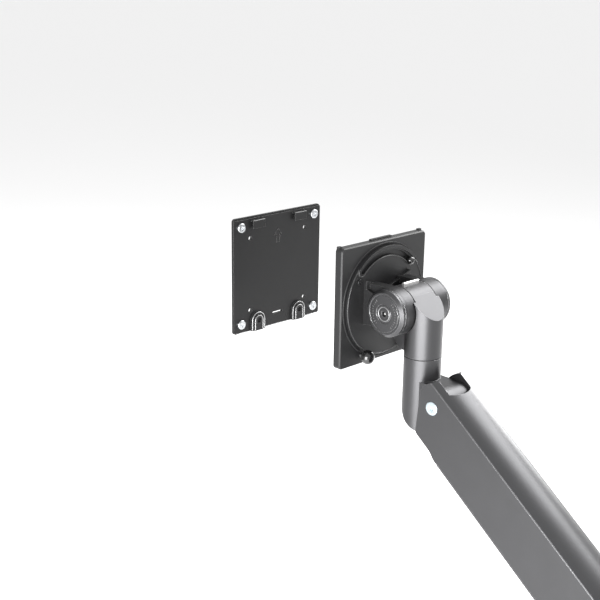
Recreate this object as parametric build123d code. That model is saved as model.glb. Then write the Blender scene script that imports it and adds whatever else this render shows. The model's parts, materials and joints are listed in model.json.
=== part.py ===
from build123d import *
import os
from math import cos, radians, sin, sqrt

# A gas-spring monitor arm with a desk clamp and a quick-release screen plate.
# Millimetres and degrees.  Origin: the post's axis at the desk surface.
# +Z is up, +Y points at the screen, +X is to the right of somebody behind it.
# The neck, the head and the upper arm share one plane of symmetry, x = elbow_x.

# fits
run_fit = 0.05            # radial play of a shaft in its bush
part_gap = 0.3            # play between two pieces that move past each other
side_gap = 0.4            # play each side of a piece between two cheeks
past = 1.0                # how far a cutting shape runs past the face it cuts
through = 200.0           # long enough to cut right through any piece

# desk clamp and post
desk_thickness = 25.0
pad_width, pad_depth, pad_thickness, pad_inset = 100.0, 90.0, 1.5, 2.0
base_width, base_depth, base_thickness = 104.0, 96.0, 8.0
base_front = 50.0         # y of the base plate's front edge
base_corner = 14.0
clamp_wall, clamp_width = 6.0, 70.0
clamp_opening = 85.0      # desk surface to the clamp's lower jaw
clamp_screw_r = 6.0
clamp_nut_r, clamp_nut_height, clamp_nut_drop = 12.0, 16.0, 5.0
jaw_r, jaw_height, jaw_rubber_height, jaw_socket = 24.0, 8.0, 2.0, 5.0
spindle_below_nut = 20.0  # clear thread between the nut and the handle's hub
handle_r, handle_length, handle_hub_r, handle_hub_height = 4.0, 86.0, 9.5, 18.0
handle_cap_wall, handle_cap_cover, handle_cap_end = 2.0, 12.0, 3.0
post_r, flange_r, flange_height = 20.0, 33.0, 6.0
post_bolt_circle_r = 26.5
bolt_r, bolt_head_r, bolt_head_height, bolt_length, bolt_socket = 3.0, 5.0, 5.0, 11.0, 5.0
wall_bolt_r, wall_bolt_head_r, wall_bolt_head_height = 2.5, 4.2, 3.0
wall_bolt_length, wall_bolt_socket, wall_bolt_x = 18.0, 4.0, 22.0

# lower arm
lower_arm_length = 240.0  # post axis to elbow axis
lower_arm_bottom = 75.0   # height of its underside above the desk
lower_arm_height, lower_arm_end_r, lower_arm_wall = 34.0, 25.0, 4.0
lower_arm_rib = 4.0       # extra wall beside the hollow
hollow_end = 12.0         # solid metal between a bush and the hollow
lid_thickness, lid_ledge, lid_corner = 2.5, 3.0, 9.0
lid_slot_length, lid_slot_width, lid_slot_step = 34.0, 9.0, 70.0
shaft_r, bush_wall = 11.0, 2.0
shaft_sunk = 6.0          # a swivel shaft ends this far inside the arm
retainer_r, retainer_rise, retainer_head_height = 4.0, 1.8, 2.5
retainer_length, retainer_socket = 16.0, 5.0
washer_height = 1.5
hub_cap_rim, hub_cap_height, bottom_cap_height = 6.0, 3.0, 2.0
clip_r, clip_wall, clip_width, clip_foot, clip_x = 9.0, 2.0, 10.0, 7.0, 58.0

# elbow bracket and upper arm
collar_height = 18.0
shaft_cover = 4.0         # collar metal above the elbow shaft
rear_pivot_height = 63.3  # rear pivot above the lower arm's top face
rear_pivot_offset = 35.0  # elbow axis to rear pivot
upper_arm_length = 280.0  # pivot to pivot
arm_slope = 37.4          # at rest, front end up
link_drop = 22.0          # the levelling link's pivots lie this far below the arm's
pivot_boss_r, rear_pin_r, front_pin_r, link_pin_r = 10.0, 6.0, 5.0, 4.0
pivot_bush_wall, pivot_bush_length = 1.5, 8.0
tension_r, tension_head_r, tension_head_height = 4.0, 6.5, 4.0
tension_length, tension_socket, tension_sunk, tension_recess_r = 9.0, 6.0, 1.5, 7.0
shell_width, cheek_gap = 44.0, 30.2
crown_height, ridge_height, roof_underside = 23.7, 17.7, 18.3
shell_bottom, cover_bottom, shell_end_r = 34.8, 37.5, 37.5
cover_start, cover_end = 38.0, 240.0
pivot_screw_r, pivot_head_r, pivot_head_height, pivot_head_sunk = 2.5, 6.4, 1.6, 1.0
pivot_screw_length, pivot_socket = 8.0, 3.2
link_thickness, link_height, eye_r = 6.0, 9.0, 7.5
link_room_gap, spring_room_gap = 0.7, 0.6
spring_x, cylinder_r, rod_r = 4.0, 9.0, 4.0
spring_eye_width, cylinder_start, cylinder_length = 9.0, 33.0, 116.0
rod_inside = 60.0         # rod length inside the cylinder at rest
spring_front_s, spring_front_n = 75.0, 4.0
spring_pin_play = 2.2     # the gas spring's front eye is the loop's open pivot

# neck
neck_r = 17.5
neck_to_pivot = 31.1      # neck axis to front pivot, along y
head_to_neck = 50.5       # head face to neck axis
head_above_pivot = 79.8   # head centre above the front pivot
pan_seam = -41.4          # pan joint below the head centre
pan_shaft_r = 10.0
pan_bush_length, pan_shaft_up, pan_shaft_down = 24.0, 22.0, 26.0
pan_ring_height, pan_ring_gap = 0.9, 0.02
rib_half = 4.5

# tilting head
tilt_y, barrel_r = -32.0, 22.0
hub_half, ear_outer, cap_outer = 14.3, 26.0, 35.0
tilt_washer, ear_gap = 0.9, 0.1
tilt_shaft_r = 6.0
facet_gap = 0.05          # the column's flat lies this far off the hub
tab_half, tab_back, tab_front, tab_root, tab_height = 10.2, 1.6, 1.2, 3.0, 2.8
disc_r, disc_thickness, disc_gap = 52.0, 2.5, 0.3
slot_r, slot_width, slot_half_angle = 45.7, 5.6, 44.0
disc_screw_r, disc_screw_place_r, disc_screw_angle = 1.4, 44.0, 147.0
web_half, web_peak, web_thickness = 30.5, 24.6, 3.2
web_valley_half, web_valley, web_low = 2.4, 14.2, -17.4
rotation_bolt_r, rotation_bolt_back = 6.0, 9.5
rotation_washer_r, rotation_washer_height, nut_across_r, nut_height = 20.0, 1.2, 10.5, 2.2

# head plate and quick-release plate
plate_side, plate_depth, plate_face, plate_rim, plate_corner = 115.0, 8.0, 4.0, 4.0, 4.0
lip_half, lip_depth, lip_proud, corner_lip, corner_lip_proud = 14.0, 3.0, 1.2, 5.0, 1.0
pocket_gap = 0.6          # room round a hook or a boss of the quick-release plate
thumb_x, thumb_z = 28.3, -49.0
thumb_r, thumb_thread_r, thumb_stand, thumb_foot = 6.8, 2.5, 13.5, 5.0
thumb_washer_r, thumb_reach = 5.2, 5.0
insert_r = 4.0
adapter_side, adapter_thickness, adapter_distance = 119.0, 3.0, 146.0
adapter_corner, adapter_step, adapter_step_gap = 3.0, 1.0, 1.5
hook_x, hook_width, hook_top, hook_drop, hook_proud = 28.5, 16.0, 56.0, 8.5, 3.6
hook_metal = 1.5
bridge_top, bridge_height, bridge_post, bridge_metal = 47.0, 3.5, 2.0, 1.9
boss_width, boss_proud, boss_ledge, boss_step = 17.0, 3.5, 3.2, 1.0
vesa_wide, vesa_narrow = 100.0, 75.0
vesa_screw_r, vesa_head_r, vesa_head_height, vesa_stud = 2.0, 4.85, 2.4, 8.0
vesa_shoulder_r = 2.2     # the screw's plain neck inside the plate
vesa_hole_r = 2.25
middle_slot_z, middle_slot_length, middle_slot_width = -46.5, 14.0, 2.2

# places worked out from the sizes above
base_back = base_front - base_depth
base_top = pad_thickness + base_thickness
flange_top = base_top + flange_height
elbow_x = -lower_arm_length
arm_top = lower_arm_bottom + lower_arm_height
collar_low = arm_top + washer_height
collar_top = collar_low + collar_height
slope = radians(arm_slope)
rear_pivot = (rear_pivot_offset, arm_top + rear_pivot_height)
front_pivot = (
    rear_pivot[0] + upper_arm_length * cos(slope),
    rear_pivot[1] + upper_arm_length * sin(slope),
)
rear_link = (rear_pivot[0], rear_pivot[1] - link_drop)
neck_y = front_pivot[0] + neck_to_pivot
head = Location((elbow_x, neck_y + head_to_neck, front_pivot[1] + head_above_pivot))
inner_half = cheek_gap / 2 - side_gap      # half width of a piece between the cheeks
ear_inner = hub_half + tilt_washer + ear_gap
disc_back = -disc_gap - disc_thickness
LOW = (Align.CENTER, Align.CENTER, Align.MIN)


# ---- shared shapes
def along_x(r, y, z, low, high):
    return Plane(origin=(low, y, z), z_dir=(1, 0, 0)).location * Cylinder(r, high - low, align=LOW)


def along_y(r, x, z, low, high):
    return Plane(origin=(x, low, z), z_dir=(0, 1, 0)).location * Cylinder(r, high - low, align=LOW)


def along_z(r, x, y, low, high):
    return Pos(x, y, low) * Cylinder(r, high - low, align=LOW)


def block(low, high):
    size = [b - a for a, b in zip(low, high)]
    return Pos(*[(a + b) / 2 for a, b in zip(low, high)]) * Box(*size)


def side_shape(face, half_width, x=0.0):
    """A face drawn in (y, z), given a width along x."""
    return Pos(x, 0, 0) * extrude(Plane.YZ * face, amount=half_width, both=True)


def disc_2d(r, y, z):
    return Pos(y, z) * Circle(r)


def closed_face(*corners):
    return make_face(Polyline(*corners, corners[0]))


def chamfered(shape, axis, size, last=True):
    """Bevel the outer round edge at one end of a turned piece."""
    faces = shape.faces().filter_by(axis).sort_by(axis)
    end = faces[-1] if last else faces[0]
    return chamfer(end.outer_wire().edges(), size)


def hex_socket(across, depth):
    """A hexagonal hole, sunk from z = 0 downwards."""
    return Pos(0, 0, -depth) * extrude(RegularPolygon(across / sqrt(3), 6), amount=depth + past)


def head_screw(r, head_r, head_height, length, across):
    """A socket screw: its seat at z = 0, head above it and shank below."""
    bevel, socket_depth = head_height * 0.2, head_height * 0.6
    top = chamfered(Cylinder(head_r, head_height, align=LOW), Axis.Z, bevel)
    shank = Pos(0, 0, -length) * Cylinder(r, length, align=LOW)
    return top + shank - Pos(0, 0, head_height) * hex_socket(across, socket_depth)


def retaining_screw():
    """The screw in a swivel shaft's end; its head overlaps the bush."""
    head_r = shaft_r + retainer_rise
    return head_screw(retainer_r, head_r, retainer_head_height, retainer_length, retainer_socket)


def turned_to(direction, at):
    return Plane(origin=at, z_dir=direction).location


# ---- desk clamp and post
def base_pieces():
    plate_bevel, flange_bevel, tube_bevel = 1.2, 1.5, 0.8
    outline = RectangleRounded(base_width, base_depth, base_corner)
    plate = Pos(0, base_front - base_depth / 2, pad_thickness) * extrude(outline, amount=base_thickness)
    plate = chamfer(plate.faces().sort_by(Axis.Z)[-1].outer_wire().edges(), plate_bevel)
    pad_outline = RectangleRounded(pad_width, pad_depth, base_corner - pad_inset)
    pad = Pos(0, base_front - pad_inset - pad_depth / 2) * extrude(pad_outline, amount=pad_thickness)

    tube_top = lower_arm_bottom - washer_height
    flange = chamfered(along_z(flange_r, 0, 0, base_top, flange_top), Axis.Z, flange_bevel)
    tube = chamfered(along_z(post_r, 0, 0, base_top, tube_top), Axis.Z, tube_bevel)
    post = flange + tube - along_z(shaft_r, 0, 0, flange_top, tube_top + past)
    bolts = []
    for angle in range(45, 360, 90):
        x = post_bolt_circle_r * cos(radians(angle))
        y = post_bolt_circle_r * sin(radians(angle))
        bolt = head_screw(bolt_r, bolt_head_r, bolt_head_height, bolt_length, bolt_socket)
        bolts.append(Pos(x, y, flange_top) * bolt)
        post -= along_z(bolt_r, x, y, base_top - past, flange_top + past)
        plate -= along_z(bolt_r, x, y, flange_top - bolt_length, base_top + past)

    shaft_top = arm_top - shaft_sunk
    shaft = along_z(shaft_r, 0, 0, flange_top, shaft_top)
    shaft -= along_z(retainer_r, 0, 0, shaft_top - retainer_length, shaft_top + past)
    washer = along_z(post_r, 0, 0, tube_top, lower_arm_bottom)
    washer -= along_z(shaft_r + run_fit, 0, 0, 0, arm_top)
    pieces = {
        "base_pad": pad, "base_plate": plate, "post": post, "post_shaft": shaft,
        "post_washer": washer, "post_retaining_screw": Pos(0, 0, shaft_top) * retaining_screw(),
    }
    return pieces, bolts


def corner_of(face, y, z):
    return [v for v in face.vertices() if Vector(v.X, v.Y) == Vector(y, z)]


def clamp_bracket():
    """The C-shaped clamp and the bolts that hold it to the base plate."""
    outer_bend, inner_bend, top_gap, jaw_overhang = clamp_wall + 4, 4.0, 0.5, 6.0
    wall_back = base_back - clamp_wall
    jaw_top = -clamp_opening
    jaw_low = jaw_top - clamp_wall
    reach = clamp_nut_r + jaw_overhang
    top = base_top - top_gap
    bend = closed_face(
        (base_back, top), (wall_back, top), (wall_back, jaw_low), (reach, jaw_low),
        (reach, jaw_top), (base_back, jaw_top),
    )
    bend = fillet(corner_of(bend, wall_back, jaw_low), outer_bend)
    bend = fillet(corner_of(bend, base_back, jaw_top), inner_bend)
    bracket = side_shape(bend, clamp_width / 2)
    nut_low = jaw_low - clamp_nut_drop
    bracket += along_z(clamp_nut_r, 0, 0, nut_low, nut_low + clamp_nut_height)
    bracket -= along_z(clamp_screw_r + run_fit, 0, 0, nut_low - past, 0)
    bolts = []
    bolt_z = pad_thickness + base_thickness / 2
    for x in (-wall_bolt_x, wall_bolt_x):
        bolt = head_screw(
            wall_bolt_r, wall_bolt_head_r, wall_bolt_head_height, wall_bolt_length, wall_bolt_socket)
        bolts.append(turned_to((0, -1, 0), (x, wall_back, bolt_z)) * bolt)
        bracket -= along_y(wall_bolt_r, x, bolt_z, wall_back - past, base_back + past)
    return bracket, bolts


def clamp_spindle():
    """The jaw, the clamp screw and its sliding handle."""
    jaw_bevel, hub_bevel, cap_round, end_play = 2.0, 1.5, 1.8, 0.1
    rubber_foot = -desk_thickness - jaw_rubber_height
    rubber = along_z(jaw_r, 0, 0, rubber_foot, -desk_thickness)
    jaw_foot = rubber_foot - jaw_height
    jaw = chamfered(along_z(jaw_r, 0, 0, jaw_foot, rubber_foot), Axis.Z, jaw_bevel, last=False)
    jaw -= along_z(clamp_screw_r + run_fit, 0, 0, jaw_foot - past, jaw_foot + jaw_socket)

    hub_top = -clamp_opening - clamp_wall - clamp_nut_drop - spindle_below_nut
    hub = along_z(handle_hub_r, 0, 0, hub_top - handle_hub_height, hub_top)
    hub = chamfered(hub, Axis.Z, hub_bevel, last=False)
    bar_z = hub_top - handle_hub_height / 2
    bar = along_x(handle_r, 0, bar_z, -handle_length / 2, handle_length / 2)
    screw = along_z(clamp_screw_r, 0, 0, hub_top, jaw_foot + jaw_socket - end_play)
    screw = screw + hub - bar
    caps = []
    for side in (-1, 1):
        near = side * (handle_length / 2 - handle_cap_cover)
        far = side * (handle_length / 2 + handle_cap_end)
        cap = along_x(handle_r + handle_cap_wall, 0, bar_z, min(near, far), max(near, far))
        cap = fillet(cap.edges().filter_by(GeomType.CIRCLE), cap_round)
        caps.append(cap - bar)
    return {
        "jaw_rubber": rubber, "jaw_plate": jaw, "clamp_screw": screw,
        "clamp_handle": bar, "clamp_handle_caps": Compound(caps),
    }


# ---- lower arm
def lower_arm_pieces():
    top_round, foot_bevel, hollow_corner, lid_gap = 4.0, 1.0, 6.0, 0.2
    middle = elbow_x / 2
    outline = Pos(middle, 0) * SlotCenterToCenter(lower_arm_length, 2 * lower_arm_end_r)
    bar = Pos(0, 0, lower_arm_bottom) * extrude(outline, amount=lower_arm_height)
    bar = fillet(bar.faces().sort_by(Axis.Z)[-1].outer_wire().edges(), top_round)
    bar = chamfer(bar.faces().sort_by(Axis.Z)[0].outer_wire().edges(), foot_bevel)

    bore_r = shaft_r + bush_wall
    length = lower_arm_length - 2 * (bore_r + hollow_end)
    width = 2 * (lower_arm_end_r - lower_arm_wall - lower_arm_rib)
    below = Pos(middle, 0, lower_arm_bottom - past)
    hollow = RectangleRounded(length, width, hollow_corner)
    bar -= below * extrude(hollow, amount=lower_arm_height - lower_arm_wall + past)
    ledge = RectangleRounded(length + 2 * lid_ledge, width + 2 * lid_ledge, lid_corner)
    bar -= below * extrude(ledge, amount=lid_thickness + past)
    lid_grow = 2 * (lid_ledge - lid_gap)
    lid = RectangleRounded(length + lid_grow, width + lid_grow, lid_corner - lid_gap)
    cover = Pos(middle, 0, lower_arm_bottom) * extrude(lid, amount=lid_thickness)
    for x in (-lid_slot_step, 0, lid_slot_step):
        slot = SlotOverall(lid_slot_length, lid_slot_width)
        cover -= below * Pos(x, 0) * extrude(slot, amount=lid_thickness + 2 * past)
    for x in (0, elbow_x):
        bar -= along_z(bore_r, x, 0, 0, through)
    return {
        "lower_arm": bar, "lower_arm_cover": cover, "lower_arm_bushes": swivel_bushes(bore_r),
        "hub_caps": hub_caps(bore_r + hub_cap_rim),
        "cable_clips": Compound([cable_clip(middle - clip_x), cable_clip(middle + clip_x)]),
    }


def swivel_bushes(bore_r):
    """The bushes in the lower arm's two ends; each stops short at its retaining screw."""
    short = shaft_sunk + 0.5
    post_bush = along_z(bore_r, 0, 0, lower_arm_bottom, arm_top - short)
    elbow_bush = along_z(bore_r, elbow_x, 0, lower_arm_bottom + short, arm_top)
    return Compound([
        post_bush - along_z(shaft_r + run_fit, 0, 0, 0, through),
        elbow_bush - along_z(shaft_r + run_fit, elbow_x, 0, 0, through),
    ])


def hub_caps(r):
    top_round, bottom_bevel = 2.4, 1.0
    cap = along_z(r, 0, 0, arm_top, arm_top + hub_cap_height)
    cap = fillet(cap.faces().sort_by(Axis.Z)[-1].edges(), top_round)
    bottom_cap = along_z(r, elbow_x, 0, lower_arm_bottom - bottom_cap_height, lower_arm_bottom)
    return Compound([cap, chamfered(bottom_cap, Axis.Z, bottom_bevel, last=False)])


def cable_clip(x):
    """An open ring under the lower arm, for the screen's leads."""
    mouth_start, mouth_low, mouth_high = clip_r * 0.3, -4.0, 2.0
    z = lower_arm_bottom - clip_r
    ring = side_shape(disc_2d(clip_r, 0, z) - disc_2d(clip_r - clip_wall, 0, z), clip_width / 2, x)
    mouth = block(
        (x - clip_width, mouth_start, z + mouth_low), (x + clip_width, clip_r + past, z + mouth_high))
    pad = block(
        (x - clip_width / 2, -clip_foot, lower_arm_bottom - clip_wall),
        (x + clip_width / 2, clip_foot, lower_arm_bottom))
    return ring + pad - mouth


# ---- elbow bracket
def swing_wedge(pivot, forward, offset, high=46.0, low=-26.0):
    """Room in (y, z) for a bar that swings about a pivot between two slopes."""
    reach, eye_gap = 90.0, 0.8
    sign = 1 if forward else -1
    first, second = (radians(high), radians(low)) if forward else (radians(low), radians(high))
    up = (sign * cos(first), sign * sin(first))
    down = (sign * cos(second), sign * sin(second))
    start = (pivot[0] - sign * offset * up[1], pivot[1] + offset * abs(up[0]))
    finish = (pivot[0] + sign * offset * down[1], pivot[1] - offset * abs(down[0]))
    wedge = closed_face(
        start, (start[0] + reach * up[0], start[1] + reach * up[1]),
        (finish[0] + reach * down[0], finish[1] + reach * down[1]), finish,
    )
    return wedge + disc_2d(eye_r + eye_gap, *pivot)


def rear_bracket():
    collar_bevel, foot_r, foot_inset, link_boss_wall, spring_high = 2.0, 5.0, 9.0, 1.0, 52.0
    collar = along_z(lower_arm_end_r, 0, 0, collar_low, collar_top)
    collar = chamfered(collar, Axis.Z, collar_bevel)
    foot_y, foot_z = lower_arm_end_r - foot_inset, collar_top - foot_r - 0.5
    web = make_hull([
        disc_2d(pivot_boss_r, *rear_pivot).edge(), disc_2d(eye_r + link_boss_wall, *rear_link).edge(),
        disc_2d(foot_r, -foot_y, foot_z).edge(), disc_2d(foot_r, foot_y, foot_z).edge(),
    ])
    bracket = collar + side_shape(web, inner_half)
    low, high = -inner_half - past, link_band()[1] + part_gap
    link_room = swing_wedge(rear_link, True, link_height / 2 + link_room_gap)
    spring_room = swing_wedge(rear_link, True, rod_r + spring_room_gap, high=spring_high)
    bracket -= side_shape(link_room, (high - low) / 2, (high + low) / 2)
    bracket -= side_shape(spring_room, spring_eye_width / 2 + side_gap, spring_x)
    ends = (-inner_half - past, inner_half + past)
    bracket -= along_x(rear_pin_r + pivot_bush_wall, *rear_pivot, *ends)
    bracket -= along_x(link_pin_r, *rear_link, *ends)
    return bracket - along_z(shaft_r, 0, 0, collar_low - past, collar_top - shaft_cover)


def pivot_bushes(r, pivot):
    """A bush in each side of a piece that turns between the arm's cheeks."""
    bushes = []
    for low, high in ((-inner_half, -inner_half + pivot_bush_length),
                      (inner_half - pivot_bush_length, inner_half)):
        ring = along_x(r + pivot_bush_wall, *pivot, low, high)
        bushes.append(ring - along_x(r + run_fit, *pivot, low - past, high + past))
    return Compound(bushes)


def elbow_pieces():
    washer_inset, tension_drop, tension_bore_depth = 1.0, 9.0, 10.6
    bracket = rear_bracket()
    pin = along_x(link_pin_r, *rear_link, link_band()[0], inner_half)
    shaft_low = lower_arm_bottom + shaft_sunk
    shaft = along_z(shaft_r, 0, 0, shaft_low, collar_top - shaft_cover)
    shaft -= along_z(retainer_r, 0, 0, shaft_low - past, shaft_low + retainer_length)
    washer = along_z(lower_arm_end_r - washer_inset, 0, 0, arm_top, collar_low)
    washer -= along_z(shaft_r, 0, 0, 0, through)
    retainer = turned_to((0, 0, -1), (0, 0, shaft_low)) * retaining_screw()

    back, tension_z = -lower_arm_end_r, collar_top - tension_drop
    tension = turned_to((0, -1, 0), (0, back + tension_sunk, tension_z)) * head_screw(
        tension_r, tension_head_r, tension_head_height, tension_length, tension_socket)
    outside = back - 5
    bracket -= along_y(tension_r + run_fit, 0, tension_z, outside, back + tension_bore_depth)
    bracket -= along_y(tension_recess_r, 0, tension_z, outside, back + tension_sunk + 0.1)
    pieces = {
        "rear_bracket": bracket, "rear_pivot_bushes": pivot_bushes(rear_pin_r, rear_pivot),
        "link_rear_pin": pin, "elbow_shaft": shaft, "elbow_washer": washer,
        "elbow_retaining_screw": retainer, "tension_screw": tension,
    }
    return {name: Pos(elbow_x, 0, 0) * piece for name, piece in pieces.items()}


def link_band():
    """The levelling link's low and high x, beside the gas spring."""
    inset = 0.8
    low = -inner_half + inset
    return low, low + link_thickness


# ---- upper arm, drawn along its own slope: s runs back from the front pivot, n is up
def arm_plane(x=0.0):
    return Plane(origin=(x, *front_pivot), x_dir=(0, -cos(slope), -sin(slope)), z_dir=(-1, 0, 0))


def arm_pin(r, s, n, low, high):
    return arm_plane(high).location * (Pos(s, n, 0) * Cylinder(r, high - low, align=LOW))


def shell_outline():
    """The arm from the side, in (s, n): rounded nose, straight top, round rear end."""
    top_start, brow, nose = (-10.0, crown_height), (-16.6, 16.8), (-19.7, 7.5)
    lip, chin, heel = (-19.2, 3.1), (-14.3, -5.9), (1.2, -30.6)
    heel_round, heel_end, belly = (3.2, -32.7), (6.0, -33.4), (23.0, -33.4)
    belly_step, cover_gap = (35.5, -36.0), 2.0
    length = upper_arm_length
    top_end = (length + sqrt(shell_end_r ** 2 - crown_height ** 2), crown_height)
    rear_low = (length, -shell_end_r)
    lines = [
        ThreePointArc(nose, brow, top_start),
        Line(top_start, top_end),
        ThreePointArc(top_end, (length + shell_end_r, 0), rear_low),
        Polyline(
            rear_low, (cover_end + cover_gap, -shell_end_r), (cover_end + cover_gap, -shell_bottom),
            (cover_start, -shell_bottom), (cover_start, belly_step[1]), belly_step,
        ),
        Spline(belly_step, belly, tangents=((-1, 0), (-1, 0))),
        Line(belly, heel_end),
        ThreePointArc(heel_end, heel_round, heel),
        Polyline(heel, chin, lip, nose),
    ]
    return make_face(lines)


def shell_section():
    """Across the arm, in (x, n): straight sides, a fine bevel and a crowned top."""
    side, bevel, rise, low = shell_width / 2, 0.6, 0.2, -60.0
    left, right = (bevel - side, ridge_height + rise), (side - bevel, ridge_height + rise)
    lines = [
        Polyline(right, (side, ridge_height - bevel), (side, low), (-side, low),
                 (-side, ridge_height - bevel), left),
        ThreePointArc(left, (0, crown_height), right),
    ]
    return make_face(lines)


def along_arm(face, s_low, s_high):
    """A face drawn in (x, n), run along the arm."""
    u = Vector(0, -cos(slope), -sin(slope))
    origin = Vector(0, *front_pivot) + u * s_low
    return extrude(Plane(origin=origin, x_dir=(1, 0, 0), z_dir=u) * face, amount=s_high - s_low)


def across_arm(face, n_low, n_high):
    """A face drawn in (s, x), raised square to the arm."""
    n = Vector(0, -sin(slope), cos(slope))
    origin = Vector(0, *front_pivot) + n * n_low
    plane = Plane(origin=origin, x_dir=(0, -cos(slope), -sin(slope)), z_dir=n)
    return extrude(plane * face, amount=n_high - n_low)


def notch_outline():
    """The opening in the arm's top that the neck swings through, in (s, x)."""
    half, side_end, middle_end, front = cheek_gap / 2, 2.0, 6.5, -40.0
    lines = [
        Polyline((side_end, half), (front, half), (front, -half), (side_end, -half)),
        ThreePointArc((side_end, -half), (middle_end, 0), (side_end, half)),
    ]
    return make_face(lines)


def upper_arm_pieces():
    s_first, s_last, hollow_low, screw_play, screw_room, pin_in = -40, upper_arm_length + 60, -60, 0.15, 5, 3
    notch_low, notch_high = 5, 30
    side, half = shell_width / 2, cheek_gap / 2
    shell = extrude(arm_plane() * shell_outline(), amount=side, both=True)
    shell &= along_arm(shell_section(), s_first, s_last)
    hollow = Pos(0, (roof_underside + hollow_low) / 2) * Rectangle(cheek_gap, roof_underside - hollow_low)
    shell -= along_arm(hollow, s_first, s_last)
    shell -= across_arm(notch_outline(), notch_low, notch_high)
    shell -= arm_pin(front_pin_r, 0, 0, -side - past, side + past)
    shell -= arm_pin(rear_pin_r, upper_arm_length, 0, -side - past, side + past)
    spring_pin = arm_pin(link_pin_r, spring_front_s, spring_front_n, -half - pin_in, half + pin_in)
    shell -= spring_pin
    seat_x = side - pivot_head_sunk
    front_pin = arm_pin(front_pin_r, 0, 0, -seat_x, seat_x)
    rear_pin = arm_pin(rear_pin_r, upper_arm_length, 0, -seat_x, seat_x)
    screws = []
    for pivot, r in ((front_pivot, pivot_head_r), (rear_pivot, pivot_head_r + 1)):
        for sign in (-1, 1):
            seat = turned_to((sign, 0, 0), (sign * seat_x, *pivot))
            screws.append(seat * head_screw(
                pivot_screw_r, r, pivot_head_height, pivot_screw_length, pivot_socket))
            shell -= seat * Cylinder(r + screw_play, screw_room, align=LOW)
            bore = Cylinder(pivot_screw_r, pivot_screw_length + past, align=LOW)
            bore = seat * (Pos(0, 0, -pivot_screw_length) * bore)
            front_pin -= bore
            rear_pin -= bore
    return {
        "upper_arm_shell": shell, "under_cover": under_cover(),
        "arm_pivot_pins": Compound([front_pin, rear_pin, spring_pin]),
        "arm_pivot_screws": Compound(screws),
    }


def under_cover():
    """The clip-on cover below the arm, cut away at the rear for the elbow bracket."""
    slot_length, slot_width, low, high, cut_wall, cover_gap = 40, 8, -45, -30, 4.5, 2.0
    lid = along_arm(cover_section(), cover_start + part_gap, cover_end + cover_gap - part_gap)
    for s in (80, 140, 200):
        lid -= across_arm(Pos(s, 0) * SlotOverall(slot_length, slot_width), low, high)
    cut_width = cheek_gap - 2 * cut_wall
    rear_cut = Pos(215, 0) * Rectangle(120, cut_width) & Pos(245, 0) * Rectangle(60, 60)
    return lid - across_arm(rear_cut, low, high)


def cover_section():
    """Across the under cover, in (x, n): a flat lid with two lips inside the cheeks."""
    bevel, rest_gap, lip, lip_height, lip_gap, lip_root = 1.2, 0.1, 2.0, 5.0, 0.15, 0.5
    side, half = shell_width / 2, cheek_gap / 2
    top, low = -shell_bottom - rest_gap, -cover_bottom
    lid = closed_face(
        (-side, top), (side, top), (side, low + bevel), (side - bevel, low), (bevel - side, low),
        (-side, low + bevel))
    for sign in (-1, 1):
        x = sign * (half - lip_gap - lip / 2)
        lid += Pos(x, top + lip_height / 2 - lip_root) * Rectangle(lip, lip_height + 2 * lip_root)
    return lid


def levelling_link():
    low, high = link_band()
    u = Vector(0, cos(slope), sin(slope))
    bar_plane = Plane(origin=((low + high) / 2, *rear_link), x_dir=u, z_dir=(1, 0, 0))
    bar = Pos(upper_arm_length / 2, 0) * Rectangle(upper_arm_length, link_height)
    face = bar + Circle(eye_r) + Pos(upper_arm_length, 0) * Circle(eye_r)
    face -= Circle(link_pin_r + run_fit)
    face -= Pos(upper_arm_length, 0) * Circle(link_pin_r + spring_pin_play / 4)
    return extrude(bar_plane * face, amount=link_thickness / 2, both=True)


def gas_spring():
    """The cylinder and its rod, drawn up z from the rear eye and then laid in place."""
    bevel, root, end_wall, rod_eye_wall, eye_cut = 1.5, 2.0, 25.0, 1.5, 10.0
    front = Vector(0, *front_pivot) + Vector(0, -cos(slope), -sin(slope)) * spring_front_s
    front += Vector(0, -sin(slope), cos(slope)) * spring_front_n
    start = Vector(0, *rear_link)
    v = (front - start).normalized()
    total = (front - start).length
    place = Plane(origin=Vector(spring_x, 0, 0) + start, x_dir=(1, 0, 0), z_dir=v).location
    half = spring_eye_width / 2
    cylinder = Pos(0, 0, cylinder_start) * Cylinder(cylinder_r, cylinder_length, align=LOW)
    cylinder = chamfer(cylinder.edges().filter_by(GeomType.CIRCLE), bevel)
    cylinder += Cylinder(rod_r, cylinder_start + root, align=LOW)
    cylinder += along_x(eye_r, 0, 0, -half, half)
    cylinder -= along_x(link_pin_r + run_fit, 0, 0, -eye_cut, eye_cut)
    bore = Cylinder(rod_r + run_fit, cylinder_length, align=LOW)
    cylinder -= Pos(0, 0, cylinder_start + end_wall) * bore
    rod_low = cylinder_start + cylinder_length - rod_inside
    rod = Pos(0, 0, rod_low) * Cylinder(rod_r, total - rod_low - eye_r + past, align=LOW)
    rod += along_x(eye_r + rod_eye_wall, 0, total, -half, half)
    rod -= along_x(link_pin_r + spring_pin_play, 0, total, -eye_cut, eye_cut)
    return {"gas_cylinder": place * cylinder, "gas_rod": place * rod}


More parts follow.
